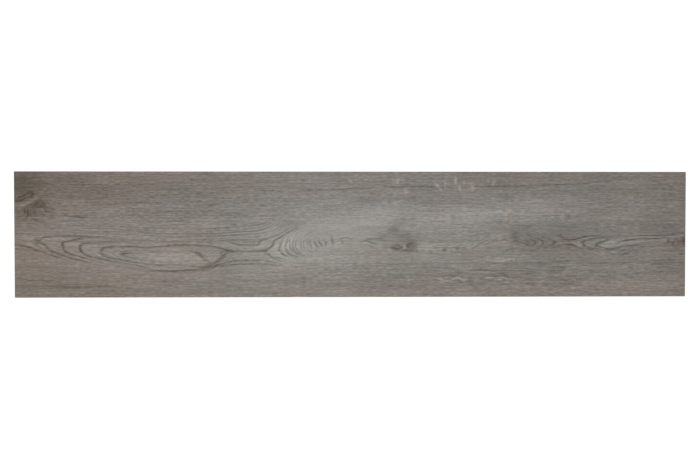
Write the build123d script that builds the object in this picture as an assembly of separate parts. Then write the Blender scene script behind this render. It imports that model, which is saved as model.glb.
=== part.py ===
"""One luxury vinyl tile in plank format: a thin, flexible, square-edged floor covering that is glued down.

The plank is a single laminated sheet. Its backing, core, printed film and clear wear layer are pressed
into one slab under heat, and the slab is then die-cut, so nothing in it comes apart: it is one solid.

Frame: X runs along the plank and its printed grain, Y across it, and +Z out of the walking surface.
The origin is the centre of the back, which is the face that lies on the subfloor. Units are millimetres.
"""

from build123d import *
import os

# Outline of the die-cut plank: the metric form of the 48 by 9 inch trade size.
length = 1220.0
width = 228.0

# Full height of the laminate, from the back to the walking surface.
thickness = 2.5

# The punch drags the face down as it enters, which rolls the arris round the walking surface over.
face_arris_radius = 0.3

# It breaks out at the back, where the burr is knocked off, which leaves a smaller, flat ease.
back_arris_ease = 0.12


def die_cut_slab():
    """The sheet as it leaves the punch: a rectangle with square walls, lying on its back."""
    outline = Rectangle(length, width)
    return extrude(outline, amount=thickness)


def with_rolled_face_arris(slab):
    """Rounds the four edges of the walking surface over."""
    walking_surface = slab.faces().sort_by(Axis.Z)[-1]
    return fillet(walking_surface.edges(), radius=face_arris_radius)


def with_eased_back_arris(slab):
    """Breaks the four sharp edges of the glued face."""
    glued_face = slab.faces().sort_by(Axis.Z)[0]
    return chamfer(glued_face.edges(), length=back_arris_ease)


plank = with_eased_back_arris(with_rolled_face_arris(die_cut_slab()))

os.makedirs("parts", exist_ok=True)
export_step(plank, "parts/plank.step")

size = plank.bounding_box().size
print("plank", round(size.X, 3), "x", round(size.Y, 3), "x", round(size.Z, 3), "mm")
print("volume", round(plank.volume / 1000, 2), "cm3, solids", len(plank.solids()))
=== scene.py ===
"""One luxury vinyl plank lying face up on a pale studio floor, seen from above.

The plank is a single pressed laminate. Its walking surface carries a print of grey-stained, plain-sawn
oak, so most of this file grows that board: its rings, pores, rays and knots. X runs along the grain.
"""

import math

import bmesh
import bpy
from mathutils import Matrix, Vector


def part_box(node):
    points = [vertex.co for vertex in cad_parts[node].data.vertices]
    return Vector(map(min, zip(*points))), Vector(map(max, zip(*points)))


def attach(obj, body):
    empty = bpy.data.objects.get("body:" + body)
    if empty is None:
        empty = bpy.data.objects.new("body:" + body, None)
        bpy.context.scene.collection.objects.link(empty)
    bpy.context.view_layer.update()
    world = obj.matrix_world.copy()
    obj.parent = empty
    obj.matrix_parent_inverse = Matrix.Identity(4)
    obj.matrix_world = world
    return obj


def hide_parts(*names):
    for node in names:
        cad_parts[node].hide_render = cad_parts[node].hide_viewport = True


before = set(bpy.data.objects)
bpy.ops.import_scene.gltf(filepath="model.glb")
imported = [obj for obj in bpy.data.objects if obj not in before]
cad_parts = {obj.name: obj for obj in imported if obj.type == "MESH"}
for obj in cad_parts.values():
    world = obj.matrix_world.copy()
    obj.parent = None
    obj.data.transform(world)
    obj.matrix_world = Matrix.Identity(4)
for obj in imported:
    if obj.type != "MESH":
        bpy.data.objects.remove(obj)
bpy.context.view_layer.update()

# Studio floor. A seamless sheet of matt white board, rolled out wide enough to have no visible end.
# It is plain painted card, so it has no gloss, and it takes a faint shadow from the thin plank.

FLOOR_HALF_WIDTH = 4.0
FLOOR_COLOUR = "ebebeb"
FLOOR_SEEN_COLOUR = "8a8a8a"
FLOOR_SEEN_GLOW = 0.84


def linear(hex_colour):
    """An sRGB hex value as linear red, green and blue, with full alpha."""
    parts = [int(hex_colour[place:place + 2], 16) / 255 for place in (0, 2, 4)]
    return [part / 12.92 if part <= 0.04045 else ((part + 0.055) / 1.055) ** 2.4 for part in parts] + [1.0]


def add_node(tree, kind, feeds=(), out=None, curves=(), stops=(), **settings):
    """Adds a shader node with its settings, fills its sockets and returns one of its outputs.

    feeds gives values or other nodes' outputs, in the sockets' order or by their names. curves are
    lists of points in real units, and stops are a ramp's places with their sRGB hex colours.
    """
    node = tree.nodes.new("ShaderNode" + kind)
    for name, value in settings.items():
        setattr(node, name, value)
    for number, curve in enumerate(curves):
        node.mapping.use_clip = False
        points = node.mapping.curves[number].points
        while len(points) < len(curve):
            points.new(0.5, 0.5)
        for point, place in zip(points, curve):
            point.location = place
            point.handle_type = "AUTO_CLAMPED"
        node.mapping.extend = "HORIZONTAL"
        node.mapping.update()
    if stops:
        elements = node.color_ramp.elements
        while len(elements) < len(stops):
            elements.new(0.5)
        for element, (place, colour) in zip(elements, stops):
            element.position = place
            element.color = linear(colour)
    usable = [socket for socket in node.inputs if socket.enabled]
    named = feeds.items() if isinstance(feeds, dict) else enumerate(feeds)
    for key, source in named:
        socket = usable[key] if isinstance(key, int) else next(s for s in usable if s.name == key)
        if isinstance(source, bpy.types.NodeSocket):
            tree.links.new(source, socket)
        elif source is not None:
            socket.default_value = source
    if out:
        return node.outputs[out]
    return next((socket for socket in node.outputs if socket.enabled), None)


def new_material(name):
    """An empty material and its node tree."""
    material = bpy.data.materials.new(name)
    material.use_nodes = True
    material.node_tree.nodes.clear()
    return material, material.node_tree


def seen_directly(tree):
    """1 for rays from the camera and for those that gloss or glass passes on, otherwise 0."""
    path = add_node(tree, "LightPath").node.outputs
    either = add_node(tree, "Math", [path["Is Camera Ray"], path["Is Glossy Ray"]], operation="MAXIMUM")
    return add_node(tree, "Math", [either, path["Is Transmission Ray"]], operation="MAXIMUM")


card, tree = new_material("matt_white_card")
lit = add_node(tree, "BsdfDiffuse", [linear(FLOOR_COLOUR)])
shaded = add_node(tree, "BsdfDiffuse", [linear(FLOOR_SEEN_COLOUR)])
glow = add_node(tree, "Emission", [linear("ffffff"), FLOOR_SEEN_GLOW])
seen = add_node(tree, "AddShader", [shaded, glow])
add_node(tree, "OutputMaterial", [add_node(tree, "MixShader", [seen_directly(tree), lit, seen])])

sheet = bpy.data.meshes.new("studio_floor")
floor_corners = [(side_x * FLOOR_HALF_WIDTH, side_y * FLOOR_HALF_WIDTH, 0)
                 for side_x, side_y in ((-1, -1), (1, -1), (1, 1), (-1, 1))]
sheet.from_pydata(floor_corners, [], [(0, 1, 2, 3)])
sheet.materials.append(card)
floor = bpy.data.objects.new("studio_floor", sheet)
bpy.context.scene.collection.objects.link(floor)

# Studio light. An even white surround with two broad soft boxes, one each side of the camera.
# Together they light a level white surface to just about 1, so colours render as written.

SURROUND_STRENGTH = 0.5
SURROUND_SEEN_STRENGTH = 1.0
SOFT_BOXES = [
    # place (m), side (m), power (W)
    ((-1.6, 1.4, 2.6), 1.8, 42.0),
    ((1.8, -1.0, 2.8), 2.2, 26.0),
]

surround = bpy.data.worlds.new("white_surround")
surround.use_nodes = True
tree = surround.node_tree
tree.nodes.clear()
strength = add_node(tree, "MapRange", {
    "Value": seen_directly(tree), "To Min": SURROUND_STRENGTH, "To Max": SURROUND_SEEN_STRENGTH})
add_node(tree, "OutputWorld", [add_node(tree, "Background", [linear("ffffff"), strength])])
bpy.context.scene.world = surround

for number, (place, side, power) in enumerate(SOFT_BOXES, 1):
    light = bpy.data.lights.new(f"soft_box_{number}", "AREA")
    light.size = side
    light.energy = power
    lamp = bpy.data.objects.new(light.name, light)
    lamp.location = place
    lamp.rotation_euler = (-lamp.location).to_track_quat("-Z", "Y").to_euler()
    lamp.visible_camera = False
    bpy.context.scene.collection.objects.link(lamp)

# Camera. A 50 mm lens about 1.8 m above the plank, a degree or so off plumb, as the plank's four
# corners in the photograph place it.

LENS_MM = 50.0
CAMERA_PLACE = (-0.0451, 0.0420, 1.7682)
CAMERA_TURN_DEGREES = (-1.308, -1.314, -0.004)

lens = bpy.data.cameras.new("copy_stand_camera")
lens.lens = LENS_MM
camera = bpy.data.objects.new("copy_stand_camera", lens)
camera.location = CAMERA_PLACE
camera.rotation_euler = [math.radians(turn) for turn in CAMERA_TURN_DEGREES]
bpy.context.scene.collection.objects.link(camera)
bpy.context.scene.camera = camera
bpy.context.scene.view_settings.view_transform = "Standard"

# Plank. The whole product: backing, core, printed film and clear wear layer pressed into one sheet
# of vinyl and punched out of it. The punch rolls the face's arris over and leaves the walls square.

FACE_ARRIS_RADIUS = 0.0003
BACK_ARRIS_EASE = 0.00012
ARRIS_STEPS = 6
LEVEL_WITHIN = 1e-7
PRINTED_FACE, CUT_EDGE, GLUED_BACK = 0, 1, 2

low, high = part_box("plank")
half_length = (high.x - low.x) / 2
half_width = (high.y - low.y) / 2
thickness = high.z - low.z

# The wall's profile from the back to the face, as how far each ring is set in and how high it is.
profile = [(BACK_ARRIS_EASE, 0.0), (0.0, BACK_ARRIS_EASE)]
for step in range(ARRIS_STEPS + 1):
    turn = math.radians(90) * step / ARRIS_STEPS
    set_in = FACE_ARRIS_RADIUS * (1 - math.cos(turn))
    profile.append((set_in, thickness - FACE_ARRIS_RADIUS * (1 - math.sin(turn))))
along_profile = [0.0]
for (a_in, a_up), (b_in, b_up) in zip(profile, profile[1:]):
    along_profile.append(along_profile[-1] + math.hypot(b_in - a_in, b_up - a_up))

# The bake's map: the face takes most of the height, then the back, then a strip for each side.
# The grain runs along the face, so detail across it is finer than along it.
MAP_MARGIN = 0.004
MAP_FACE = (0.205, 0.995)
MAP_BACK = (0.105, 0.195)
MAP_SIDE_FOOT, MAP_SIDE_PITCH, MAP_SIDE_HEIGHT = 0.004, 0.025, 0.018

shell = bmesh.new()
bake_map = shell.loops.layers.uv.new("OFBake")
rings = []
for set_in, height in profile:
    x, y = half_length - set_in, half_width - set_in
    corners = [(-x, -y), (x, -y), (x, y), (-x, y)]
    rings.append([shell.verts.new((a, b, low.z + height)) for a, b in corners])


def fill(corners, places, wears, smooth=False):
    """Closes one face of the shell, with its places on the bake's map."""
    face = shell.faces.new(corners)
    face.material_index = wears
    face.smooth = smooth
    for loop, place in zip(face.loops, places):
        loop[bake_map].uv = place


def on_map(vertex, band):
    """A level vertex's place in one band of the bake's map."""
    u = MAP_MARGIN + (1 - 2 * MAP_MARGIN) * (vertex.co.x + half_length) / (2 * half_length)
    return u, band[0] + (band[1] - band[0]) * (vertex.co.y + half_width) / (2 * half_width)


for level in range(len(rings) - 1):
    wears = (GLUED_BACK, CUT_EDGE)[level] if level < 2 else PRINTED_FACE
    for side in range(4):
        after = (side + 1) % 4
        corners = [rings[level][side], rings[level][after], rings[level + 1][after], rings[level + 1][side]]
        foot = MAP_SIDE_FOOT + side * MAP_SIDE_PITCH
        rise = [foot + MAP_SIDE_HEIGHT * along_profile[n] / along_profile[-1] for n in (level, level + 1)]
        ends = (MAP_MARGIN, 1 - MAP_MARGIN)
        places = [(ends[0], rise[0]), (ends[1], rise[0]), (ends[1], rise[1]), (ends[0], rise[1])]
        fill(corners, places, wears, smooth=level >= 2)
fill(rings[-1], [on_map(vertex, MAP_FACE) for vertex in rings[-1]], PRINTED_FACE)
back_corners = rings[0][::-1]
fill(back_corners, [on_map(vertex, MAP_BACK) for vertex in back_corners], GLUED_BACK)
shell.edges.ensure_lookup_table()
for edge in shell.edges:
    one_end, other_end = edge.verts
    edge.smooth = abs(one_end.co.z - other_end.co.z) < LEVEL_WITHIN
bmesh.ops.recalc_face_normals(shell, faces=shell.faces)
slab = bpy.data.meshes.new("laminated_plank")
shell.to_mesh(slab)
shell.free()

# The printed face's material: satin-matt urethane over clear vinyl over a print of stained oak.
# Everything below is in millimetres on the face, and tone is in 255 levels, as a printer reads it.

decor, oak = new_material("grey_oak_print_under_matt_wear_layer")


def level_sum(tree, start, *terms):
    """start plus each term's value times its weight."""
    total = start
    for value, weight in terms:
        total = add_node(tree, "Math", [value, weight, total], operation="MULTIPLY_ADD")
    return total


def grain_noise(tree, place, length, width, detail=2.0, seed=0.0):
    """Noise about 0 in cells of a length and a width in millimetres, drawn out along the grain."""
    cells = add_node(tree, "VectorMath", [place, (1 / length, 1 / width, 0), (seed, seed, 0)],
                     operation="MULTIPLY_ADD")
    noise = add_node(tree, "TexNoise", {"Vector": cells, "Scale": 1.0, "Detail": detail},
                     noise_dimensions="2D")
    return add_node(tree, "Math", [noise, 0.5], operation="SUBTRACT")


def patches(tree, place, ovals, start=0.0):
    """Lays soft ovals of tone over a value: centre x and y, half length, half width, turn, levels.

    Only vector sums and open map ranges are used, as long chains of other kinds overrun Cycles' stack.
    """
    total = start
    for x, y, long_half, short_half, turn, levels in ovals:
        cos, sin = math.cos(math.radians(turn)), math.sin(math.radians(turn))
        turned = place if turn == 0 else add_node(tree, "CombineXYZ", [
            add_node(tree, "VectorMath", [place, (cos, sin, 0)], operation="DOT_PRODUCT"),
            add_node(tree, "VectorMath", [place, (-sin, cos, 0)], operation="DOT_PRODUCT")])
        centre = ((-x * cos - y * sin) / long_half, (x * sin - y * cos) / short_half, 0)
        local = add_node(tree, "VectorMath", [turned, (1 / long_half, 1 / short_half, 0), centre],
                         operation="MULTIPLY_ADD")
        far = add_node(tree, "VectorMath", [local], operation="LENGTH")
        near = add_node(tree, "MapRange", {"Value": far, "From Min": 1.0, "From Max": 0.0},
                        interpolation_type="SMOOTHSTEP", clamp=False)
        total = level_sum(tree, total, (near, levels))
    return total


MM_IN_A_METRE = 1000
metres = add_node(oak, "TexCoord", out="Object")
flat = add_node(oak, "VectorMath", [metres, (MM_IN_A_METRE, MM_IN_A_METRE, 0)], operation="MULTIPLY")

# The grain wanders: slow waves a hand long, and short ones like the ripple of a sawn board.
SLOW_WAVE_SIZE = (150, 24)
SLOW_WAVE_SWING = 5.0
RIPPLE_SIZE = (34, 7)
RIPPLE_SWING = 1.6
slow_wave = grain_noise(oak, flat, *SLOW_WAVE_SIZE, seed=3)
ripple = grain_noise(oak, flat, *RIPPLE_SIZE, seed=8)
along = add_node(oak, "SeparateXYZ", [flat], out="X")
straight_across = add_node(oak, "SeparateXYZ", [flat], out="Y")
across = level_sum(oak, straight_across, (ripple, RIPPLE_SWING))
wood = add_node(oak, "CombineXYZ", [along, level_sum(oak, across, (slow_wave, SLOW_WAVE_SWING))])

# Growth rings. The saw skims a wavy heart, so rings close into cathedral points along it. HEART is
# where that line runs, RING_ON_HEART counts rings along it, and the slopes count them outwards.
HEART = [
    (-610, -6.5), (-570, -12), (-524, -17.5), (-491, -22), (-454, -27.5), (-416, -35), (-385, -38),
    (-348, -41), (-302, -42.5), (-266, -42.5), (-248, -40), (-232, -34.5), (-218, -30), (-158, -29.5),
    (-145, -25.5), (-133, -22), (-120, -19.5), (-95, -19), (-58, -17.5), (-13, -13), (24, -12), (83, -24),
    (165, -29), (228, -22), (297, -11), (336, -15), (400, -16.5), (447, -20), (510, -18), (610, -11)]
RING_ON_HEART = [
    (-610, 5.85), (-570, 5), (-524, 4), (-491, 3), (-454, 2), (-416, 1), (-375, 0.5), (-338, 0.35),
    (-302, 0.5), (-266, 1), (-236, 2), (-212, 2.2), (-171, 2.2), (-158, 2), (-131.5, 1), (-121.5, 0),
    (-114, -1), (-108.5, -2), (-103.5, -3), (-94, -4), (-88.5, -5), (-82, -6), (-76, -7), (-50, -8),
    (24, -9), (83, -9.6), (165, -10), (193, -11), (228, -12), (270, -12.4), (310, -11.6), (336, -11),
    (349, -10), (364, -9), (384, -8.4), (398, -8.4), (411, -9), (422, -10), (447, -11), (460, -12),
    (509, -12.7), (610, -13)]
RINGS_PER_MM_ABOVE = [
    (-610, 0.176), (-385, 0.176), (-311, 0.14), (-262, 0.16), (-232, 0.19), (-166, 0.21), (-76, 0.21),
    (24, 0.187), (160, 0.165), (610, 0.165)]
RINGS_PER_MM_BELOW = [
    (-610, 0.143), (-430, 0.143), (-400, 0.15), (-348, 0.115), (-262, 0.11), (-212, 0.13), (-163, 0.13),
    (-145, 0.21), (-76, 0.21), (24, 0.187), (160, 0.165), (610, 0.165)]
BLUNTNESS_ABOVE = [
    (-610, 10), (-500, 10), (-480, 7.5), (-440, 7.5), (-400, 9.5), (-348, 9), (-311, 8), (-259, 14),
    (-232, 8), (-203, 4), (-174, 5.5), (-163, 16), (-140, 15), (-100, 15), (-85, 9), (24, 9), (610, 9)]
BLUNTNESS_BELOW = [
    (-610, 13), (-555, 15.5), (-490, 16), (-470, 14.5), (-455, 12), (-436, 9), (-412, 5), (-348, 4.5),
    (-275, 5.5), (-235, 10), (-212, 13), (-163, 14), (-140, 22), (-120, 20), (-108, 15), (-98, 11.5),
    (-85, 8), (24, 8), (610, 8)]

heart = add_node(oak, "FloatCurve", {"Value": along}, curves=[HEART])
off_heart = add_node(oak, "Math", [across, heart], operation="SUBTRACT")
above = add_node(oak, "Math", [off_heart, 0.0], operation="GREATER_THAN")
from_heart = add_node(oak, "Math", [off_heart], operation="ABSOLUTE")


def by_side(tree, below_curve, above_curve):
    """Reads one curve below the heart and another above it."""
    below_value = add_node(tree, "FloatCurve", {"Value": along}, curves=[below_curve])
    above_value = add_node(tree, "FloatCurve", {"Value": along}, curves=[above_curve])
    return add_node(tree, "Mix", {"Factor": above, "A": below_value, "B": above_value}, data_type="FLOAT")


# Near the heart a ring stands across it, as far out as it is blunt in millimetres, and then runs along.
blunt = by_side(oak, BLUNTNESS_BELOW, BLUNTNESS_ABOVE)
blunt_squared = add_node(oak, "Math", [blunt, blunt], operation="MULTIPLY")
reach_squared = add_node(oak, "Math", [from_heart, from_heart, blunt_squared], operation="MULTIPLY_ADD")
off_squared = add_node(oak, "Math", [from_heart, from_heart], operation="MULTIPLY")
past_nose = add_node(oak, "Math", [off_squared, reach_squared], operation="DIVIDE")
eased = add_node(oak, "Math", [past_nose, past_nose], operation="MULTIPLY")
rings_per_mm = by_side(oak, RINGS_PER_MM_BELOW, RINGS_PER_MM_ABOVE)
outwards = add_node(oak, "Math", [from_heart, rings_per_mm], operation="MULTIPLY")
on_heart = add_node(oak, "FloatCurve", {"Value": along}, curves=[RING_ON_HEART])
ring = add_node(oak, "Math", [outwards, eased, on_heart], operation="MULTIPLY_ADD")

# Across one ring the spring pores are a dark line, and the summer wood fades up to pale.
RING_TONE = [(0, 1), (0.09, 0.86), (0.2, 0.4), (0.36, 0.12), (0.6, 0), (0.8, 0.12), (0.92, 0.7), (1, 1)]
phase = add_node(oak, "Math", [ring], operation="FRACT")
spring_line = add_node(oak, "FloatCurve", {"Value": phase}, curves=[RING_TONE])

# Where a ring turns across the heart its line stays as thin as elsewhere, though the ring is wide.
THINNED_AT_TURN = 3.0
thinning = add_node(oak, "MapRange", {"Value": eased, "To Min": THINNED_AT_TURN, "To Max": 1.0})
spring_line = add_node(oak, "Math", [spring_line, thinning], operation="POWER")

# No two rings are as dark as each other, and each fades and strengthens along its length.
FAINTEST_RING, DARKEST_RING = 0.75, 1.15
COMMON_RING_WIDTH = 6.0
FADE_SIZE = (60, 7)
FADE_WEIGHT = 1.6
ring_number = add_node(oak, "Math", [ring], operation="ROUND")
each_ring = add_node(oak, "TexWhiteNoise", {"W": ring_number}, noise_dimensions="1D")
ring_weight = add_node(oak, "MapRange", {"Value": each_ring, "To Min": FAINTEST_RING, "To Max": DARKEST_RING})
ring_outwards = add_node(oak, "Math", [ring, COMMON_RING_WIDTH], operation="MULTIPLY")
ring_place = add_node(oak, "CombineXYZ", [along, ring_outwards])
fading = level_sum(oak, 1.0, (grain_noise(oak, ring_place, *FADE_SIZE, seed=21), FADE_WEIGHT))
line = add_node(oak, "Math", [spring_line, ring_weight], operation="MULTIPLY")
line = add_node(oak, "Math", [line, fading], operation="MULTIPLY")

# How strongly the rings print along the board, and how far either side of the heart they show.
RING_STRENGTH = [
    (-610, 0.4), (-400, 0.45), (-340, 0.3), (-290, 0.15), (-170, 0.15), (-148, 0.25), (-130, 0.9),
    (-105, 0.9), (-95, 0.5), (-85, 0.1), (-70, 0), (0, 0), (165, 0.15), (610, 0.15)]
SHOWS_ABOVE = [
    (-610, 26), (-450, 22), (-300, 22), (-200, 34), (-165, 60), (-120, 60), (-85, 45), (-50, 25),
    (20, 20), (165, 20), (300, 24), (400, 30), (610, 30)]
SHOWS_BELOW = [
    (-610, 34), (-540, 38), (-450, 38), (-300, 40), (-200, 46), (-140, 42), (-100, 34), (-50, 22), (20, 18),
    (165, 18), (300, 24), (400, 28), (610, 24)]
SHOWS_FULLY_WITHIN = 0.45
shows = by_side(oak, SHOWS_BELOW, SHOWS_ABOVE)
share_of_reach = add_node(oak, "Math", [from_heart, shows], operation="DIVIDE")
near_heart = add_node(oak, "MapRange", {
    "Value": share_of_reach, "From Min": 1.0, "From Max": SHOWS_FULLY_WITHIN},
    interpolation_type="SMOOTHSTEP", clamp=False)
strength = add_node(oak, "FloatCurve", {"Value": along}, curves=[RING_STRENGTH])
strength_there = add_node(oak, "Math", [near_heart, strength], operation="MULTIPLY")
line = add_node(oak, "Math", [line, strength_there], operation="MULTIPLY")

# Stain flecks and streaks. Near the heart they follow the rings, and away from it they run straight.
# The two sides of the heart are set well apart, so that they don't mirror each other.
EASED_OFF_WEIGHT = -0.8
SIDES_APART = 300.0
eased_off = add_node(oak, "Math", [from_heart, eased], operation="MULTIPLY")
follow = level_sum(oak, from_heart, (ring, COMMON_RING_WIDTH), (eased_off, EASED_OFF_WEIGHT),
                   (above, SIDES_APART))
follow = add_node(oak, "CombineXYZ", [along, follow])
FLECK_SIZES = [
    # length and width (mm), levels, seed
    (10.5, 1.9, 58, 31),
    (60, 2.4, 44, 37),
    (170, 11, 19, 43),
]
COARSENESS = [(-30, 5, 230, 70, 8, -0.35), (-380, 42, 340, 62, 0, 0.32), (150, -45, 200, 25, 0, -0.2)]
flecks = 0.0
for length, width, levels, seed in FLECK_SIZES:
    bent = grain_noise(oak, follow, length, width, seed=seed)
    straight = grain_noise(oak, wood, length, width, seed=seed + 1)
    either = add_node(oak, "Mix", {"Factor": near_heart, "A": straight, "B": bent}, data_type="FLOAT")
    flecks = level_sum(oak, flecks, (either, levels))
flecks = add_node(oak, "Math", [flecks, patches(oak, flat, COARSENESS, 1.0)], operation="MULTIPLY")

# Along the lower right, and less so at the upper right end, the grain is coarse and splintery.
SPLINTERY = [(330, -78, 400, 62, 0, 1), (560, 20, 160, 60, 0, 0.4)]
SPLINTER_SIZE = (24, 3.4)
SPLINTER_LEVELS = 60.0
splinters = grain_noise(oak, wood, *SPLINTER_SIZE, seed=61)
splinters = add_node(oak, "Math", [splinters, patches(oak, flat, SPLINTERY)], operation="MULTIPLY")
flecks = level_sum(oak, flecks, (splinters, SPLINTER_LEVELS))

# Oak's open pores are ticks a few millimetres long and half a millimetre wide, seen from near by.
PORE_SIZE = (7, 0.55)
PORE_OPENS, PORE_IS_OPEN = 0.03, 0.2
pores = grain_noise(oak, wood, *PORE_SIZE, detail=1.0, seed=47)
pores = add_node(oak, "MapRange", {"Value": pores, "From Min": PORE_OPENS, "From Max": PORE_IS_OPEN},
                 interpolation_type="SMOOTHSTEP", clamp=False)

# Broad tone. Stain takes unevenly: pale and cool about the middle, darker and browner at the ends.
TONE_ALONG = [
    (-610, 106), (-520, 115), (-400, 119), (-230, 122), (-140, 126), (-50, 129), (40, 126), (200, 123),
    (290, 119), (380, 117), (500, 116), (610, 108)]
TONE_ACROSS = [(-114, -2.5), (-70, -1), (-45, 4.5), (0, 5.5), (30, 3), (60, -2), (95, -7), (114, -9)]
BROAD_TONE = [
    (-595, 100, 160, 80, 0, -9), (-605, 70, 70, 75, 0, -18), (-470, 75, 210, 60, 0, -11),
    (-30, 0, 190, 75, 12, 12), (-360, 30, 150, 26, 0, -8), (-580, 30, 50, 25, 0, -6),
    (-450, -22, 90, 26, 0, 6), (-112, -4, 40, 30, 0, 9), (-118, -20, 30, 26, 0, 7), (-50, -20, 50, 20, 0, 5),
    (-130, -52, 40, 20, 0, 6), (235, 36, 80, 20, 0, 6), (180, -19, 105, 18, 0, 14), (400, 45, 90, 20, 0, 5),
    (320, -65, 120, 40, 0, -10), (-110, 52, 50, 20, 0, -4), (-340, 72, 320, 62, 0, -6),
    (290, 45, 190, 36, 0, 8), (-180, 4, 95, 20, 0, 12), (-130, -22, 160, 18, 0, 6), (-560, 30, 60, 50, 0, -6),
    (592, -15, 28, 30, 0, -8), (-220, -16, 50, 14, 0, 6), (10, -66, 100, 24, 0, -4),
    (-476, 32, 60, 18, 0, -7), (300, 2, 50, 16, 0, -6), (565, 20, 75, 40, 0, -11), (580, -50, 50, 50, 0, -7),
    (-330, -68, 100, 20, 0, 6), (-140, -46, 60, 18, 0, 9), (-480, -42, 50, 16, 0, 6),
    (-540, -84, 70, 30, 0, -6), (50, -96, 80, 24, 0, -6), (420, -96, 90, 18, 0, 5),
    (370, 92, 100, 18, 0, 5), (430, -14, 26, 12, 0, 5), (150, 62, 100, 11, 0, -7),
    (230, 34, 200, 12, 0, 5), (490, 36, 90, 15, 0, 6), (40, 30, 80, 20, 0, 5), (-150, -68, 90, 20, 0, 5),
    (-300, -46, 120, 22, 0, 5), (10, -20, 40, 14, 0, 5), (200, -74, 50, 12, 0, -5), (-480, 92, 50, 16, 0, -6),
    (500, 96, 60, 14, 0, 4), (592, -18, 22, 22, 0, -5), (-480, -70, 60, 14, 0, -4), (-192, -75, 45, 50, 0, 7),
    (240, -108, 50, 14, 0, -7), (520, -24, 55, 22, 0, -7), (570, -85, 50, 16, 0, -4),
    (-590, -28, 30, 12, 0, 6), (-140, -25, 85, 45, 0, 13), (-345, -40, 110, 24, 0, 12),
    (-570, -14, 80, 30, 0, 9), (-400, -55, 90, 20, 0, 6), (50, 42, 60, 34, 10, 12), (135, -32, 40, 20, 0, 9),
    (170, 28, 130, 28, 0, 10), (330, 50, 110, 24, 0, 8), (365, -12, 115, 40, 0, -14),
    (470, 12, 200, 24, 0, -9), (440, -43, 120, 20, 0, -7), (-20, -55, 130, 28, 0, 5),
    (290, -45, 70, 18, 0, 6), (150, -80, 200, 32, 0, -9), (-470, -105, 100, 32, 0, -8),
    (560, -95, 130, 28, 0, 8)]
DRIFT_SIZE = (120, 40)
DRIFT_LEVELS = 7.0
drifting = grain_noise(oak, flat, *DRIFT_SIZE, seed=51)
tone = add_node(oak, "FloatCurve", {"Value": along}, curves=[TONE_ALONG])
tone = level_sum(oak, tone, (add_node(oak, "FloatCurve", {"Value": across}, curves=[TONE_ACROSS]), 1.0))
tone = level_sum(oak, patches(oak, wood, BROAD_TONE, tone), (drifting, DRIFT_LEVELS))

# Ovals laid on a torn or a worn place have ragged outlines, pushed about by half of these millimetres.
RAGGED_LENGTH = 7
TORN_BY = (5, 4, 0)
WORN_BY = (2.5, 2, 0)
ragged = add_node(oak, "TexNoise", {"Vector": flat, "Scale": 1 / RAGGED_LENGTH, "Detail": 2.0},
                  out="Color", noise_dimensions="2D")
ragged = add_node(oak, "VectorMath", [ragged, (0.5, 0.5, 0)], operation="SUBTRACT")
torn = add_node(oak, "VectorMath", [ragged, TORN_BY, wood], operation="MULTIPLY_ADD")
worn = add_node(oak, "VectorMath", [ragged, WORN_BY, wood], operation="MULTIPLY_ADD")

# Rays, where the saw meets them nearly flat: short pale flecks that stand across the grain.
RAY_FLECKS = [
    (82, 96, 6.5, 12, 0, 18), (74, 96, 4, 10, 0, 12), (96, 80, 6, 8, 0, 16), (155, 88, 15, 5, -45, 24),
    (168, 90, 4, 14, 0, 16), (162, 84, 5, 8, 0, 10), (188, 99, 4.5, 13, 8, 24), (195, 84, 5.5, 10, 15, 20),
    (203, 96, 4, 12, 0, 14), (219, 86, 6, 9, 0, 16), (237, 98, 6, 5, 0, 12), (247, 97, 3.5, 10, 0, 10),
    (257, 96, 5, 11, 0, 12), (257, 68, 9, 7, 0, 14), (285, 44, 8, 9, 0, 9), (280.5, 34, 3, 15, 0, 8),
    (289.5, 31, 3, 14, 0, 8), (-4, 96, 5.5, 7.5, 0, 12), (294, -46, 2.2, 7.5, 0, 14),
    (303, -50, 2.2, 7.5, 0, 14)]
rays = patches(oak, torn, RAY_FLECKS)

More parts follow.
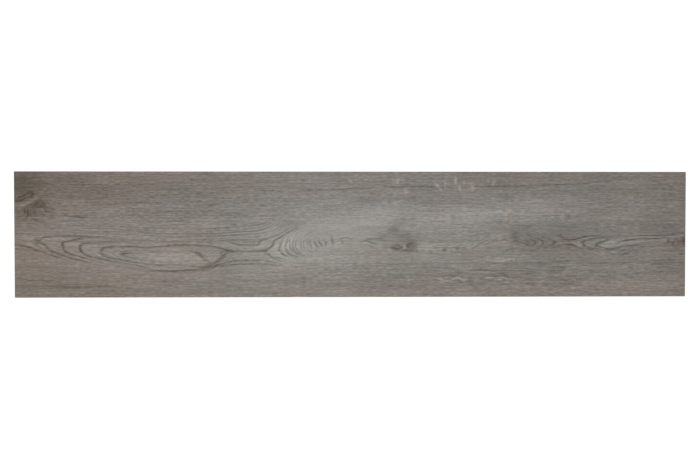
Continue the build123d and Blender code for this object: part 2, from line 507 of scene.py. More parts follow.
# Pin knots and burrs: dark eyes with a brown stain round them, and the swirl at the left end. The
# small pale and dark ovals among them lie inside the rings that close on themselves.
KNOTS = [
    (80, -23.5, 14, 9, 0, -52), (80, -23.5, 8, 4, 0, 26), (89.5, -22.5, 4, 4, 0, -22),
    (71, -24, 5, 4, 0, -14), (94.5, -21.5, 3.2, 8, -12, 20), (100.5, -20, 6, 5.5, 0, -30),
    (104, -16.5, 6, 6, 0, -14), (109, -19, 15, 13, 0, -26), (106, -29, 14, 6, 0, -20),
    (117.5, -28, 4, 4.5, 0, -22), (104, -20, 26, 17, 0, -8), (75, 8, 16, 9, 15, -16), (62, -24, 8, 4, 0, -8),
    (52, -7, 16, 9, 0, -15), (98, -2, 30, 15, 0, -10), (80, -8, 48, 26, 0, -9), (76, 14, 40, 16, 38, -8),
    (167, -28, 6.5, 5, 0, -28), (190.5, -26, 5.5, 4.5, 0, -22), (96, 28, 16, 15, 0, -7),
    (298, -7, 11, 14, 0, -11), (293.5, -2, 8, 7, 0, -9), (300, -14, 7, 8, 0, -10), (325, -31, 18, 10, 0, -9),
    (316, 11, 36, 14, 0, -10), (578, -13, 5, 5.5, 0, -36), (587.5, -17.5, 5, 4.5, 0, -20),
    (598, -15, 5, 6, 0, -20), (607, -12.5, 9, 12, 0, -44), (603, -36, 9, 6, 0, -18), (590, -7.5, 8, 3, 0, 10),
    (369, -15, 7, 7, 0, -10), (-598, 96, 60, 40, 0, -10), (-560, 53, 24, 16, 20, -14),
    (-600, 54, 20, 9, 0, 14), (-582, 68, 12, 9, 0, -12), (-591, 65, 4, 4, 0, -16),
    (-409, -33.5, 16, 5, 0, -9), (-523, -18, 7, 6, 0, -10), (-490, -29, 7, 6, 0, -10),
    (-543, -23, 7, 10, 0, -7), (296, 2, 14, 26, 0, -9), (-570, 52, 14, 9, 20, -10), (-584, 60, 6, 4, 30, 12),
    (413.5, -18, 6.5, 8.5, 20, 16), (431, -18, 8, 6.5, 0, 9), (459, -20.5, 14, 4.5, 0, 10),
    (472, -14, 12, 5, 0, 10), (357, -13.5, 8, 6.5, 0, 8), (396, -19, 7, 4.5, 0, -8)]
knots = patches(oak, worn, KNOTS)

# Grain lines that the sheared rings leave, each a half width and its places and levels along it.
# SWEEPS run along the board and TURNS across it, where a ring closes on itself, and both are dark.
# GLINTS are the pale wood between them.
SWEEPS = [
    (2.8, [(-610, -18, 28), (-592, -21, 28), (-581, -23.5, 30), (-574, -27.5, 28), (-563, -30, 26),
           (-552, -33.5, 20), (-541, -38, 26), (-527, -41, 12)]),
    (2.4, [(-610, -25.5, 22), (-595, -26.5, 24), (-585, -30, 16), (-574, -34, 8)]),
    (2.8, [(-570, -12, 34), (-563, -9, 36), (-559, -5.5, 30), (-549, -4, 26), (-527, -3, 26),
           (-500, -2.5, 32), (-455, -4, 18), (-410, -6.5, 6)]),
    (2.8, [(-554, -22, 20), (-549, -27, 28), (-538, -31, 30), (-531, -34.5, 30), (-520, -39, 32),
           (-509, -42.5, 32), (-491, -47, 26), (-470, -51, 8)]),
    (3.0, [(-525, -15.5, 34), (-520, -13, 38), (-513, -12, 36), (-502, -9, 36), (-495, -7.5, 34),
           (-482, -6, 20), (-455, -5.5, 20), (-434, -6.5, 20), (-392, -10, 8)]),
    (2.8, [(-520, -30, 30), (-513, -33.5, 32), (-506, -36.5, 30), (-497, -39, 28), (-488, -42, 30),
           (-477, -44.5, 18), (-463, -47, 8)]),
    (2.8, [(-491, -19, 26), (-489, -17.5, 32), (-482, -15.5, 28), (-464, -15, 20), (-454, -13.5, 26),
           (-445, -13, 28), (-419, -13.5, 20), (-383, -16.5, 8)]),
    (2.8, [(-488, -33.5, 28), (-481, -37.5, 32), (-473, -40, 30), (-462, -43, 28), (-452, -45.5, 26),
           (-437, -47, 20), (-419, -50, 8)]),
    (3.0, [(-454, -27, 36), (-450, -24.5, 38), (-441, -23, 34), (-427, -22, 28), (-401, -22, 30),
           (-374, -23.5, 28)]),
    (2.8, [(-459, -33.5, 14), (-452, -37, 28), (-443, -41, 30), (-432, -43.5, 28), (-419, -45.5, 30),
           (-405, -48, 24)]),
    (2.8, [(-418, -35.5, 28), (-412, -34, 30), (-405, -33.5, 26), (-383, -32.5, 16), (-356, -32, 16),
           (-329, -31, 8)]),
    (2.6, [(-418, -37, 16), (-410, -39, 18), (-407, -41, 16), (-394, -42, 12), (-374, -43.5, 6)]),
    (3.0, [(-374, -23.5, 22), (-348, -21.5, 28), (-330, -20, 30), (-302, -19, 30), (-275, -20, 30),
           (-257, -21.5, 28), (-243, -24, 32), (-232, -27, 40), (-218, -30.5, 40)]),
    (4.2, [(-240, -26.5, 14), (-234, -27.5, 30), (-225, -29.5, 42), (-216, -30.5, 32), (-201, -30.5, 18),
           (-185, -30.5, 20), (-172, -30, 28), (-160, -29.5, 38), (-154, -28, 22)]),
    (3.6, [(-131, -31, 16), (-127.5, -35, 34), (-122, -38.5, 26), (-116, -40, 8)]),
    (2.8, [(-160, -29.5, 34), (-154, -34.5, 32), (-149, -39, 32), (-145, -42, 32), (-138, -44.5, 28),
           (-131, -46.5, 20), (-121, -48, 8)]),
    (3.0, [(-236, -11, 8), (-225, -13, 20), (-216, -16.5, 28), (-203, -19, 28), (-189, -19, 25),
           (-172, -18.5, 30)]),
    (2.2, [(-207, -14.5, 6), (-192, -14, 18), (-178, -13.5, 18), (-171, -13, 20)]),
    (3.0, [(-372, -65.5, 8), (-362, -65.5, 24), (-348, -66, 32), (-330, -66.5, 34), (-311, -65.5, 32),
           (-293, -64.5, 32), (-275, -63.5, 34), (-265, -61, 36), (-254, -57.5, 30), (-243, -54.5, 28),
           (-232, -51.5, 26), (-221, -48.5, 26), (-210, -47, 30), (-196, -46.5, 30), (-178, -46.5, 26),
           (-163, -47, 26), (-152, -48.5, 24), (-140, -51, 18), (-124, -53, 6)]),
    (2.4, [(-261, -61, 10), (-246, -58, 22), (-228, -55.5, 24), (-210, -54, 24), (-192, -53.5, 22),
           (-174, -53, 20), (-156, -54, 22), (-138, -56, 18), (-120, -56.5, 8)]),
    (2.6, [(-405, -48, 20), (-394, -50, 26), (-383, -51, 22), (-366, -53.5, 26), (-351, -55.5, 26),
           (-333, -55, 20), (-319, -55, 18), (-302, -57, 14), (-284, -58.5, 22), (-270, -59, 30),
           (-259, -56, 34), (-250, -52.5, 28)]),
    (2.6, [(-319, -30, 6), (-304, -29.5, 12), (-293, -30, 20), (-284, -31.5, 26)]),
    (2.4, [(-319, -49, 4), (-304, -47.5, 10), (-290, -47, 12), (-275, -48, 12), (-264, -48, 6)]),
    (2.4, [(-237, -38, 14), (-232, -39.5, 18), (-227, -41, 10)]),
    (2.4, [(-26, -10.5, 8), (-23, -8.5, 20), (-19, -7, 20), (-14, -6, 14), (-9, -6, 16), (-5, -7.5, 20),
           (0, -8, 14)]),
    (1.8, [(-16, -17, 8), (-7, -17, 14), (2, -16.5, 8)]),
    (1.8, [(-16, -20.5, 8), (-7, -20.5, 14), (2, -20, 8)]),
    (2.4, [(14, -13, 12), (22, -11, 28), (29, -9, 32), (44, -8, 24), (53, -7.5, 8)]),
    (2.4, [(24, -11.5, 30), (31, -14, 28), (40, -17, 24), (49, -19, 8)]),
    (2.4, [(25, -18, 14), (35, -22, 14), (44, -25.5, 10)]),
    (2.0, [(-16, -17, 10), (0, -17.5, 10), (14, -16.5, 8)]),
    (2.6, [(88, -30.5, 18), (93, -30, 30), (99, -29.5, 30), (104, -29, 14)]),
    (2.6, [(168, -27.5, 20), (172, -25, 20), (179, -24, 8)]),
    (2.4, [(190, -26, 18), (197, -26, 10), (206, -26.5, 6)]),
    (2.2, [(185, -32.5, 10), (200, -32.5, 12), (218, -31.5, 8)]),
    (2.6, [(218, -25, 22), (224, -23, 22), (230, -18, 20), (236, -15.5, 14)]),
    (2.4, [(220, -1, 14), (233, 1, 14), (248, 2, 8)]),
    (2.6, [(275, -31, 16), (285, -28, 18), (296, -26.5, 10)]),
    (2.0, [(138, -21, 10), (160, -20, 14), (179, -15.5, 12), (197, -12, 8)]),
    (2.0, [(160, -23.5, 10), (179, -19.5, 12), (201, -15.5, 10)]),
    (3.0, [(303, -14, 18), (312, -16.8, 22), (321, -19.5, 20), (328, -20, 12)]),
    (3.0, [(306, -10, 14), (316, -12.5, 16), (325, -16, 10)]),
    (2.8, [(367, -2, 6), (376, -2.4, 24), (380, -3.5, 28), (385, -7, 28), (391, -9.5, 28), (402, -9.5, 26),
           (414, -7, 28), (423, -4.8, 26), (432, -4, 24), (442, -2.4, 20), (457, -2.5, 10), (480, -2.5, 8),
           (497, -4, 16), (512, -3, 16), (527, -2.4, 20), (550, -2.4, 24), (568, -2.3, 26), (584, -1.2, 24),
           (596, 0.2, 20), (608, 1.2, 16)]),
    (3.4, [(358, -25, 10), (369, -23, 18), (380, -20.5, 18), (393, -19.3, 32), (404, -20.5, 34),
           (409, -23, 24), (417, -26, 18), (429, -28, 16), (441, -28.5, 12), (453, -31, 6)]),
    (2.2, [(430, -9.5, 12), (437, -7.8, 20), (450, -6.3, 18), (466, -6, 14), (484, -4.8, 8)]),
    (2.2, [(380, -26.5, 8), (398, -28, 12), (417, -31, 16), (431, -33.5, 14), (442, -34, 8)]),
    (2.4, [(431, -10, 26), (442, -7.5, 24), (457, -5.5, 20), (481, -4.5, 12)]),
    (2.4, [(430, -23.5, 24), (441, -25.5, 24), (453, -27.5, 18), (463, -30, 8)]),
    (2.4, [(461, -12, 28), (472, -8.5, 22), (483, -6.5, 16), (498, -5.5, 8)]),
    (2.6, [(479, -16, 6), (490, -13.2, 20), (501, -11, 26), (512, -9.2, 30), (527, -7.9, 26), (546, -7.6, 22),
           (554, -7.5, 32), (568, -7, 22), (583, -6, 12)]),
    (2.8, [(461, -26, 24), (470, -27, 34), (477, -27, 34), (487, -24.5, 26), (498, -21.8, 20),
           (511, -20.5, 20), (522, -20, 16), (533, -20, 8)]),
    (2.2, [(505, -24.5, 8), (520, -23.5, 14), (535, -23, 10), (549, -23, 6)]),
    (2.2, [(485, -35.5, 10), (490, -32, 24), (496, -29, 28), (500, -28, 8)]),
    (2.4, [(489, -37, 14), (498, -36, 26), (507, -33, 26), (514, -30.5, 10)]),
    (2.2, [(461, -31, 10), (468, -34, 18), (476, -36, 18), (483, -37, 8)]),
    (2.2, [(579, 0.5, 12), (594, 2, 18), (608, 2, 18)]),
    (2.2, [(542, -55, 14), (555, -54, 22), (568, -54.5, 18), (583, -55, 8)]),
    (2.2, [(362, -48, 14), (374, -49.5, 20), (387, -49.5, 20), (398, -48.5, 8)]),
    (2.2, [(376, -59.5, 16), (389, -61.5, 16), (398, -62, 6)]),
    (2.4, [(215, -66, 8), (226, -64.5, 17), (241, -65, 17), (252, -65.5, 8)]),
    (2.4, [(273, -71, 12), (279, -74, 18), (285, -76, 10)]),
    (2.2, [(240, -76, 6), (255, -76.5, 12), (270, -75.5, 12), (278, -74.5, 6)]),
    (2.4, [(-606, -92, 10), (-560, -93, 14), (-515, -95, 12), (-470, -94, 14), (-430, -93, 6)]),
    (2.2, [(-606, -81, 8), (-570, -83, 12), (-530, -84, 8)]),
    (3.4, [(-608, 61, 24), (-602.5, 60.5, 38), (-597, 62, 34), (-593, 64, 28), (-589, 66, 10)]),
    (3.0, [(-605, 66, 10), (-599, 67.5, 24), (-592.5, 70.5, 24), (-588, 73, 26), (-584.5, 75.5, 28),
           (-581, 76, 30), (-577, 74.5, 34), (-573, 73, 12)]),
    (5.0, [(-589, 51, 12), (-583, 53.5, 22), (-577.5, 53, 22), (-572, 54.5, 24), (-566.5, 59, 20),
           (-562, 61.5, 20), (-558.5, 57, 16), (-554, 51.5, 14), (-548, 47.5, 12), (-541, 46.5, 6)]),
    (3.2, [(-572, 47, 8), (-566, 51.5, 14), (-560, 51, 16), (-554, 45, 14), (-548, 41, 12), (-540, 39.5, 6)]),
    (2.2, [(-608, 31, 14), (-601, 31.5, 18), (-595, 34, 14)]),
    (2.4, [(-577, 28, 10), (-571, 26, 20), (-563, 24.5, 18), (-552, 22.5, 8)]),
    (2.4, [(-564, 42, 8), (-558, 36, 14), (-552.5, 33, 16), (-547, 30, 24), (-541, 30, 20), (-535, 30.5, 6)]),
    (2.6, [(-520, 35, 10), (-505, 32.5, 20), (-492, 31.5, 24), (-478, 32, 10)]),
    (2.2, [(55, 86, 10), (124, 86.5, 22), (193, 86, 8)]),
    (2.2, [(197, 87, 8), (279, 87.5, 22), (340, 89, 20), (416, 92.5, 16), (464, 97, 12), (492, 101, 6)]),
    (2.4, [(-98, 80.5, 6), (-58, 80.5, 16), (5, 83.5, 16), (45, 84.5, 6)]),
]
TURNS = [
    (3.8, [(-569, -11, 26), (-568, -13.5, 34), (-563, -15.5, 34), (-557, -17, 34), (-555, -20, 34),
           (-552, -23.5, 32), (-549, -27, 22)]),
    (4.2, [(-523, -14, 28), (-524, -17, 38), (-523.5, -20, 36), (-521.5, -23.5, 28), (-522, -27, 30),
           (-519, -31, 28)]),
    (4.0, [(-490.5, -18, 28), (-492.5, -22, 34), (-491.5, -27.5, 38), (-489.5, -32, 32), (-485, -36, 20)]),
    (4.0, [(-452, -25, 34), (-453, -28, 38), (-456, -31, 18), (-455, -34, 20), (-451, -37, 26)]),
    (3.6, [(-159, -30, 36), (-154, -26.5, 40), (-149, -23, 38), (-146, -20, 36), (-144, -16.5, 36),
           (-143, -13, 36), (-139, -9.5, 34), (-132, -6, 32), (-123, 0, 26), (-112, 6.5, 22),
           (-102, 13, 12)]),
    (3.2, [(-173, -20, 30), (-170, -16.5, 34), (-168.5, -13.5, 34), (-165, -11.5, 34), (-160, -10, 30),
           (-154, -8, 26), (-147, -5.5, 22), (-138, -1.5, 20), (-129, 3.5, 16), (-118, 10, 8)]),
    (4.6, [(-221, -29, 16), (-228.5, -33.5, 26), (-235.5, -40, 28), (-241, -45.5, 26), (-250, -51, 24),
           (-261, -55.5, 14)]),
    (2.8, [(-236, -29, 14), (-238, -34, 24), (-239, -40, 24), (-246, -49, 16)]),
    (4.6, [(-291, -30, 14), (-284, -32, 26), (-277.5, -36, 34), (-272, -41.5, 26), (-266.5, -46.5, 20),
           (-259, -51, 14)]),
    (3.2, [(-126.5, -9, 14), (-127.5, -12, 26), (-129, -16.5, 28), (-132, -22, 30), (-133.5, -27.5, 32),
           (-133, -31, 18)]),
    (3.0, [(-117.5, -7.5, 24), (-118.5, -13, 30), (-121, -18, 28), (-122, -23.5, 28), (-119, -29, 32),
           (-114.5, -34.5, 28), (-109, -38, 26), (-102, -42, 14)]),
    (2.6, [(-113, -8.5, 16), (-113.5, -14.5, 24), (-114, -20, 26), (-112.5, -25.5, 26), (-109, -30, 26),
           (-103.5, -33.5, 24), (-98, -37, 20), (-91, -40, 8)]),
    (2.4, [(-105.5, -7.5, 12), (-107.5, -13, 22), (-108.5, -18, 26), (-107.5, -23.5, 24), (-104.5, -29, 22),
           (-100, -32.5, 20), (-94.5, -36.5, 8)]),
    (2.4, [(-102, -10, 10), (-103.5, -16, 22), (-103.5, -21, 24), (-101.5, -26, 20), (-97, -31, 18),
           (-92, -35, 6)]),
    (2.0, [(-93, -11, 10), (-94, -18, 18), (-93, -26, 12)]),
    (2.0, [(-88.5, -12.5, 10), (-89, -20, 18), (-87.5, -27, 10)]),
    (2.2, [(-82.5, -10.5, 14), (-82, -18, 18), (-82, -22, 10)]),
    (3.0, [(-77.5, -10, 14), (-76.5, -18, 24), (-74.5, -25, 16)]),
    (3.4, [(-70, -11, 14), (-67.5, -16.5, 28), (-64.5, -22, 28), (-61.5, -25, 14)]),
    (3.4, [(-62, -9.5, 16), (-59.5, -15, 32), (-56, -20, 24)]),
    (4.6, [(-51, -10, 14), (-48.5, -15, 26), (-49, -20.5, 16)]),
    (5.0, [(-37.5, -6, 16), (-36.5, -12, 32), (-36, -18, 14)]),
    (3.6, [(-19.5, -10, 14), (-18.5, -15, 18)]),
    (3.6, [(305, -4.5, 8), (317.5, -7, 14), (326, -9.5, 18), (331.5, -12.3, 22), (334, -15.2, 26),
           (330.5, -19, 18), (324, -21.5, 16), (313, -23.5, 8)]),
    (3.4, [(325, -3.5, 8), (335, -7, 16), (342, -10, 20), (347.5, -13, 24), (347.5, -17, 22), (343, -21, 20),
           (336, -24.5, 10)]),
    (4.2, [(347, -4.5, 8), (357, -7.5, 14), (364, -10.5, 20), (368.5, -14.5, 22), (367, -18.5, 20),
           (359, -22, 14), (351, -24.5, 8)]),
    (4.0, [(436, -8.5, 18), (429, -10.5, 26), (423.5, -12.5, 34), (421.5, -15.5, 34), (423, -19, 30),
           (425, -22.5, 28), (431, -24.5, 22)]),
    (3.4, [(465, -10, 24), (458, -13, 28), (452.5, -15.5, 28), (448, -18, 34), (446, -20.5, 36),
           (451, -22.5, 30), (457, -24.5, 26), (465.5, -26.5, 28)]),
    (2.4, [(-594, 34, 12), (-591, 39, 24), (-591, 46, 24)]),
    (3.2, [(-589.5, 29, 8), (-587, 31.5, 22), (-585.5, 38, 26), (-586.5, 45, 20)]),
    (2.2, [(-580, 33, 8), (-581, 38, 14), (-580, 45, 12)]),
    (4.5, [(-573, 36, 10), (-574.5, 44, 18), (-575, 52, 18)]),
    (2.8, [(-578.5, 67.5, 12), (-577.5, 72, 26), (-577, 76, 20)]),
]
GLINTS = [
    (3.2, [(418, -20, 6), (412, -18, 8), (404, -17, 6)]),
    (3.4, [(436, -17, 10), (441, -14, 14), (452, -11, 14), (462, -8.5, 6)]),
    (2.6, [(457, -18.5, 8), (465, -15.5, 14), (476, -14, 16), (487, -14.5, 16), (505, -13.5, 14),
           (527, -13.5, 10), (550, -13, 4)]),
    (2.4, [(455, -12, 6), (468, -10, 12), (483, -8, 10), (505, -6.5, 8), (536, -6, 4)]),
    (3.0, [(459, -21, 6), (470, -20.5, 14), (482, -20, 10), (500, -18, 8), (520, -18, 4)]),
    (2.6, [(330, -14, 4), (338, -16, 12), (343, -14, 10), (346, -20, 6)]),
    (2.0, [(136, -22.5, 6), (150, -19, 12), (166, -17.5, 12), (180, -13.5, 8)]),
    (2.0, [(170, -22.5, 6), (180, -22.5, 12), (192, -21.5, 6)]),
    (2.4, [(258, -18, 4), (280, -19.5, 12), (300, -19.5, 8)]),
    (2.4, [(215, -69.5, 6), (233, -68.5, 16), (246, -70.5, 8)]),
    (2.6, [(157, -81.5, 14), (168, -84, 22), (177, -84.5, 22), (184, -81.5, 22), (191, -79, 24),
           (199, -82.5, 20), (208, -85, 8)]),
    (2.6, [(258, -48, 10), (270, -48.5, 22), (283, -47, 18), (290, -45.5, 6)]),
    (2.4, [(244, -79, 8), (255, -80, 22), (263, -81, 8)]),
    (2.4, [(259, -83, 8), (268, -82.5, 24), (276, -82, 8)]),
    (2.2, [(97, -84, 6), (104, -83, 18), (112, -81.5, 6)]),
    (2.2, [(126, -81, 6), (134, -82.5, 16), (144, -83, 6)]),
    (2.4, [(270, -78, 12), (279, -80, 22), (285, -83, 8)]),
    (2.2, [(490, -9.5, 4), (510, -6.2, 12), (535, -5, 10), (560, -4.8, 8), (590, -3.5, 12), (606, -2, 6)]),
    (2.2, [(422, -7.6, 8), (433, -6, 14), (446, -5, 8)]),
    (2.4, [(478, -10, 6), (488, -8.5, 14), (500, -7, 8)]),
    (4.0, [(-600, 52, 6), (-590, 54.5, 16), (-580, 60, 20), (-570, 67, 14), (-558, 77, 12), (-550, 84, 6)]),
]

# The most that a slant may widen a line, and the shares of its width at its ends and gained where it
# is darkest.
WIDEST_SLANT = 2.4
WIDTH_AT_END, WIDTH_GAINED = 0.7, 0.4


def strokes(tree, start, lines, turned=False):
    """Lays tapered lines over a value, keeping the stronger where two meet."""
    run, rise = (across, along) if turned else (along, across)
    total = start
    for half_width, points in lines:
        places = sorted((y, x, levels) if turned else (x, y, levels) for x, y, levels in points)
        (first, first_centre, _), (last, last_centre, _) = places[0], places[-1]
        places = [(first - half_width, first_centre, 0)] + places + [(last + half_width, last_centre, 0)]
        deepest = max(levels for _, _, levels in places)
        # Where a line slants, the gap measured straight across it has to be wider.
        widths = []
        for (at, _, levels), before, after in zip(places, places[:1] + places, places[1:] + places[-1:]):
            slant = min(WIDEST_SLANT, math.hypot(1, (after[1] - before[1]) / (after[0] - before[0])))
            widths.append((at, half_width * slant * (WIDTH_AT_END + WIDTH_GAINED * levels / deepest)))
        centres = [(at, centre) for at, centre, _ in places]
        depths = [(at, levels) for at, _, levels in places]
        centre = add_node(tree, "FloatCurve", {"Value": run}, curves=[centres])
        depth = add_node(tree, "FloatCurve", {"Value": run}, curves=[depths])
        wide = add_node(tree, "FloatCurve", {"Value": run}, curves=[widths])
        off_centre = add_node(tree, "Math", [rise, centre], operation="SUBTRACT")
        gap = add_node(tree, "Math", [off_centre], operation="ABSOLUTE")
        near = add_node(tree, "MapRange", {"Value": gap, "From Min": wide, "From Max": 0.0},
                        interpolation_type="SMOOTHSTEP", clamp=False)
        stroke = add_node(tree, "Math", [near, depth], operation="MULTIPLY")
        total = add_node(tree, "Math", [total, stroke], operation="MAXIMUM")
    return total


# The fine, even lines above the figures of the left half, and those to the right of the large knot.
FANS = [
    # lines, the lowest and the highest line's places, levels along them
    (6, [(-530, -5), (-455, -7.5), (-384, -10), (-348, -12), (-275, -13), (-203, -10), (-163, -9),
         (-145, -2)],
     [(-530, 18), (-455, 14.5), (-384, 13.5), (-348, 11.5), (-275, 10.5), (-203, 14.5), (-163, 20),
      (-145, 29)],
     [(-540, 0), (-500, 9), (-400, 13), (-320, 12), (-270, 19), (-200, 25), (-165, 24), (-148, 10),
      (-138, 0)]),
    (4, [(135, -26), (150, -24), (200, -23.5), (215, -23.5)], [(135, -10), (150, -10), (200, -10), (215, -9)],
     [(138, 0), (148, 18), (170, 22), (200, 20), (212, 0)]),
]
LINE_SHOWS_AT_LEAST, LINE_VARIES_BY = 0.5, 0.6


def fans(tree, start, sheaves):
    """Lays sheaves of fine lines over a value, evenly spread between a lowest and a highest line."""
    total = start
    for count, lowest, highest, levels_along in sheaves:
        low_line = add_node(tree, "FloatCurve", {"Value": along}, curves=[lowest])
        high_line = add_node(tree, "FloatCurve", {"Value": along}, curves=[highest])
        depth = add_node(tree, "FloatCurve", {"Value": along}, curves=[levels_along])
        up = add_node(tree, "Math", [across, low_line], operation="SUBTRACT")
        spread = add_node(tree, "Math", [high_line, low_line], operation="SUBTRACT")
        share = add_node(tree, "Math", [up, spread], operation="DIVIDE")
        place = add_node(tree, "Math", [share, count - 1.0], operation="MULTIPLY")
        number = add_node(tree, "Math", [place], operation="ROUND")
        off_line = add_node(tree, "Math", [place, number], operation="SUBTRACT")
        off_line = add_node(tree, "Math", [off_line], operation="ABSOLUTE")
        near = add_node(tree, "MapRange", {"Value": off_line, "From Min": 0.5, "From Max": 0.0},
                        interpolation_type="SMOOTHSTEP", clamp=False)
        # Only the lines from the lowest to the highest are kept, each to half a gap either side.
        inside = add_node(tree, "Math", [share, 0.5, 0.5 + 0.5 / (count - 1)], operation="COMPARE")
        each = add_node(tree, "TexWhiteNoise", {"W": number}, noise_dimensions="1D")
        shows = level_sum(tree, LINE_SHOWS_AT_LEAST, (each, LINE_VARIES_BY))
        near = add_node(tree, "Math", [near, shows], operation="MULTIPLY")
        near = add_node(tree, "Math", [near, inside], operation="MULTIPLY")
        sheaf = add_node(tree, "Math", [near, depth], operation="MULTIPLY")
        total = add_node(tree, "Math", [total, sheaf], operation="MAXIMUM")
    return total


# All dark lines together, the stronger over the weaker, and broken a little every centimetre.
RING_LEVELS = 40.0
BREAK_SIZE = (10, 3)
BREAK_WEIGHT = 1.2
dark = add_node(oak, "Math", [line, RING_LEVELS], operation="MULTIPLY")
dark = strokes(oak, strokes(oak, fans(oak, dark, FANS), SWEEPS), TURNS, turned=True)
broken = level_sum(oak, 1.0, (grain_noise(oak, flat, *BREAK_SIZE, seed=71), BREAK_WEIGHT))
dark = add_node(oak, "Math", [dark, broken], operation="MULTIPLY")
glints = strokes(oak, 0.0, GLINTS)

# The print's tone. A pore is so many levels dark, and the others' own levels are strengthened.
PORE_LEVELS = -14.0
RAY_STRENGTH, GLINT_STRENGTH, DARK_STRENGTH = 1.4, 1.2, -1.3
tone = level_sum(oak, tone, (flecks, 1.0), (pores, PORE_LEVELS), (rays, RAY_STRENGTH), (knots, 1.0),
                 (glints, GLINT_STRENGTH), (dark, DARK_STRENGTH))

# Colour. The same tone is printed in a cool grey and in a brown, and the stain mixes them.
COOL_GREY = [(0.157, "2b2925"), (0.314, "53514d"), (0.471, "7b7975"), (0.627, "a3a19d"), (0.784, "cbc9c5")]
WARM_BROWN = [(0.157, "33271d"), (0.314, "5b4f45"), (0.471, "83776d"), (0.627, "ab9f95"), (0.784, "d3c7bd")]
BROWN_ALONG = [
    (-610, 0.98), (-500, 0.74), (-400, 0.6), (-225, 0.4), (-100, 0.26), (100, 0.28), (300, 0.36), (450, 0.37),
    (610, 0.54)]
BROWN_ACROSS = [
    (-114, 0.26), (-85, 0.14), (-55, 0.02), (-20, 0), (10, -0.06), (60, -0.05), (85, 0.08), (114, 0.22)]
WARM_SPOTS = [
    (285, 35, 9, 24, 0, 0.6), (109, -19, 20, 14, 0, -0.1), (598, -14, 16, 16, 0, 0.3),
    (193, -20, 12, 6, 0, 0.2), (-340, 85, 300, 40, 0, 0.1), (-480, -30, 200, 60, 0, -0.1),
    (240, -22, 240, 30, 0, 0.12), (-590, 70, 70, 60, 0, 0.25)]
FULL_LEVEL = 255.0
DRIFT_WARMS, RAYS_WARM, KNOTS_WARM = 0.7, 0.008, -0.004
printed = add_node(oak, "Math", [tone, FULL_LEVEL], operation="DIVIDE")
cool = add_node(oak, "ValToRGB", [printed], stops=COOL_GREY)
warm = add_node(oak, "ValToRGB", [printed], stops=WARM_BROWN)
brown = add_node(oak, "FloatCurve", {"Value": along}, curves=[BROWN_ALONG])
brown = level_sum(oak, brown, (add_node(oak, "FloatCurve", {"Value": across}, curves=[BROWN_ACROSS]), 1.0))
brown = patches(oak, torn, WARM_SPOTS, brown)
warmth = level_sum(oak, brown, (drifting, DRIFT_WARMS), (rays, RAYS_WARM), (knots, KNOTS_WARM))
colour = add_node(oak, "Mix", {"Factor": warmth, "A": cool, "B": warm}, data_type="RGBA")

# The stain is a touch greener at the left end and about the middle, where red and blue give way.
GREEN_SPOTS = [
    (-590, 85, 75, 70, 0, 1.3), (-560, -95, 120, 45, 0, 1.4), (40, -30, 560, 60, 0, 0.7),
    (400, -70, 160, 30, 0, 0.8)]
GREEN_LEVEL = (-0.0016, 0.0032, -0.0016)
greener = patches(oak, wood, GREEN_SPOTS)
colour = add_node(oak, "VectorMath", [greener, GREEN_LEVEL, colour], operation="MULTIPLY_ADD")

# The wear layer is embossed in register with the print: pores and ring lines are pressed in, and
# urethane is a little glossier on what stands up than down in them.
EMBOSS_DEPTH = 0.00008
FLECK_RELIEF, PORE_RELIEF, RING_RELIEF = 0.02, -0.3, -0.4
ROUGHNESS_PRESSED_IN, ROUGHNESS_ON_TOP = 0.66, 0.54
VINYL_IOR = 1.5
relief = level_sum(oak, 0.5, (flecks, FLECK_RELIEF), (pores, PORE_RELIEF), (line, RING_RELIEF))
bumps = add_node(oak, "Bump", {"Height": relief, "Distance": EMBOSS_DEPTH, "Strength": 1.0})
gloss = add_node(oak, "MapRange", {
    "Value": relief, "To Min": ROUGHNESS_PRESSED_IN, "To Max": ROUGHNESS_ON_TOP})
skin = add_node(oak, "BsdfPrincipled", {
    "Base Color": colour, "Roughness": gloss, "IOR": VINYL_IOR, "Normal": bumps})
add_node(oak, "OutputMaterial", [skin])

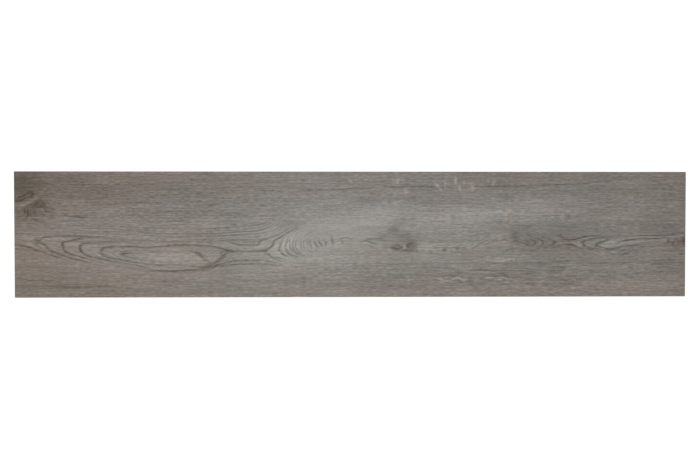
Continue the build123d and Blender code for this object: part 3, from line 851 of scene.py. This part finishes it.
# The punched edge shows the layers as bands of height: backing, glass scrim, core, film, wear layer.
# The chalk that fills the vinyl leaves it matt and faintly speckled where the punch has torn it.
EDGE_BANDS = [
    # share of the thickness, colour
    (0.0, "5f5c57"), (0.35, "625f5a"), (0.37, "b4b1a9"), (0.40, "b4b1a9"), (0.42, "86837d"),
    (0.74, "8a8781"), (0.76, "5c5349"), (0.79, "5c5349"), (0.82, "a19b91"), (1.0, "a8a298")]
CHALK_GRAIN = 0.0004
DARKEST_SPECK, PALEST_SPECK = 0.86, 1.1
TEAR_DEPTH = 0.00003
EDGE_ROUGHNESS = 0.62
edge_material, cut = new_material("punched_edge_of_filled_vinyl")
height = add_node(cut, "SeparateXYZ", [add_node(cut, "TexCoord", out="Object")], out="Z")
share_up = add_node(cut, "Math", [height, thickness], operation="DIVIDE")
bands = add_node(cut, "ValToRGB", [share_up], stops=EDGE_BANDS)
chalk = add_node(cut, "TexNoise", {
    "Scale": 1 / CHALK_GRAIN, "Detail": 2.0, "Vector": add_node(cut, "TexCoord", out="Object")})
speck = add_node(cut, "MapRange", {
    "Value": chalk, "From Min": 0.3, "From Max": 0.7, "To Min": DARKEST_SPECK, "To Max": PALEST_SPECK})
tinted = add_node(cut, "VectorMath", [bands, speck], operation="MULTIPLY")
torn_face = add_node(cut, "Bump", {"Height": chalk, "Distance": TEAR_DEPTH, "Strength": 1.0})
add_node(cut, "OutputMaterial", [add_node(cut, "BsdfPrincipled", {
    "Base Color": tinted, "Roughness": EDGE_ROUGHNESS, "IOR": VINYL_IOR, "Normal": torn_face})])

# The back is filled vinyl, calendered smooth and left plain: matt grey-brown, and faintly mottled.
MOTTLE_SIZE = 0.03
BACK_GREYS = [(0.3, "625f5a"), (0.7, "6d6a65")]
BACK_ROUGHNESS = 0.7
back_material, base = new_material("calendered_grey_vinyl_backing")
back_place = add_node(base, "TexCoord", out="Object")
mottled = add_node(base, "TexNoise", {"Vector": back_place, "Scale": 1 / MOTTLE_SIZE, "Detail": 4.0})
grey = add_node(base, "ValToRGB", [mottled], stops=BACK_GREYS)
add_node(base, "OutputMaterial", [add_node(base, "BsdfPrincipled", {
    "Base Color": grey, "Roughness": BACK_ROUGHNESS, "IOR": VINYL_IOR})])

slab.materials.append(decor)
slab.materials.append(edge_material)
slab.materials.append(back_material)
plank = bpy.data.objects.new("laminated_plank", slab)
bpy.context.scene.collection.objects.link(plank)
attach(plank, "root")
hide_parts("plank")
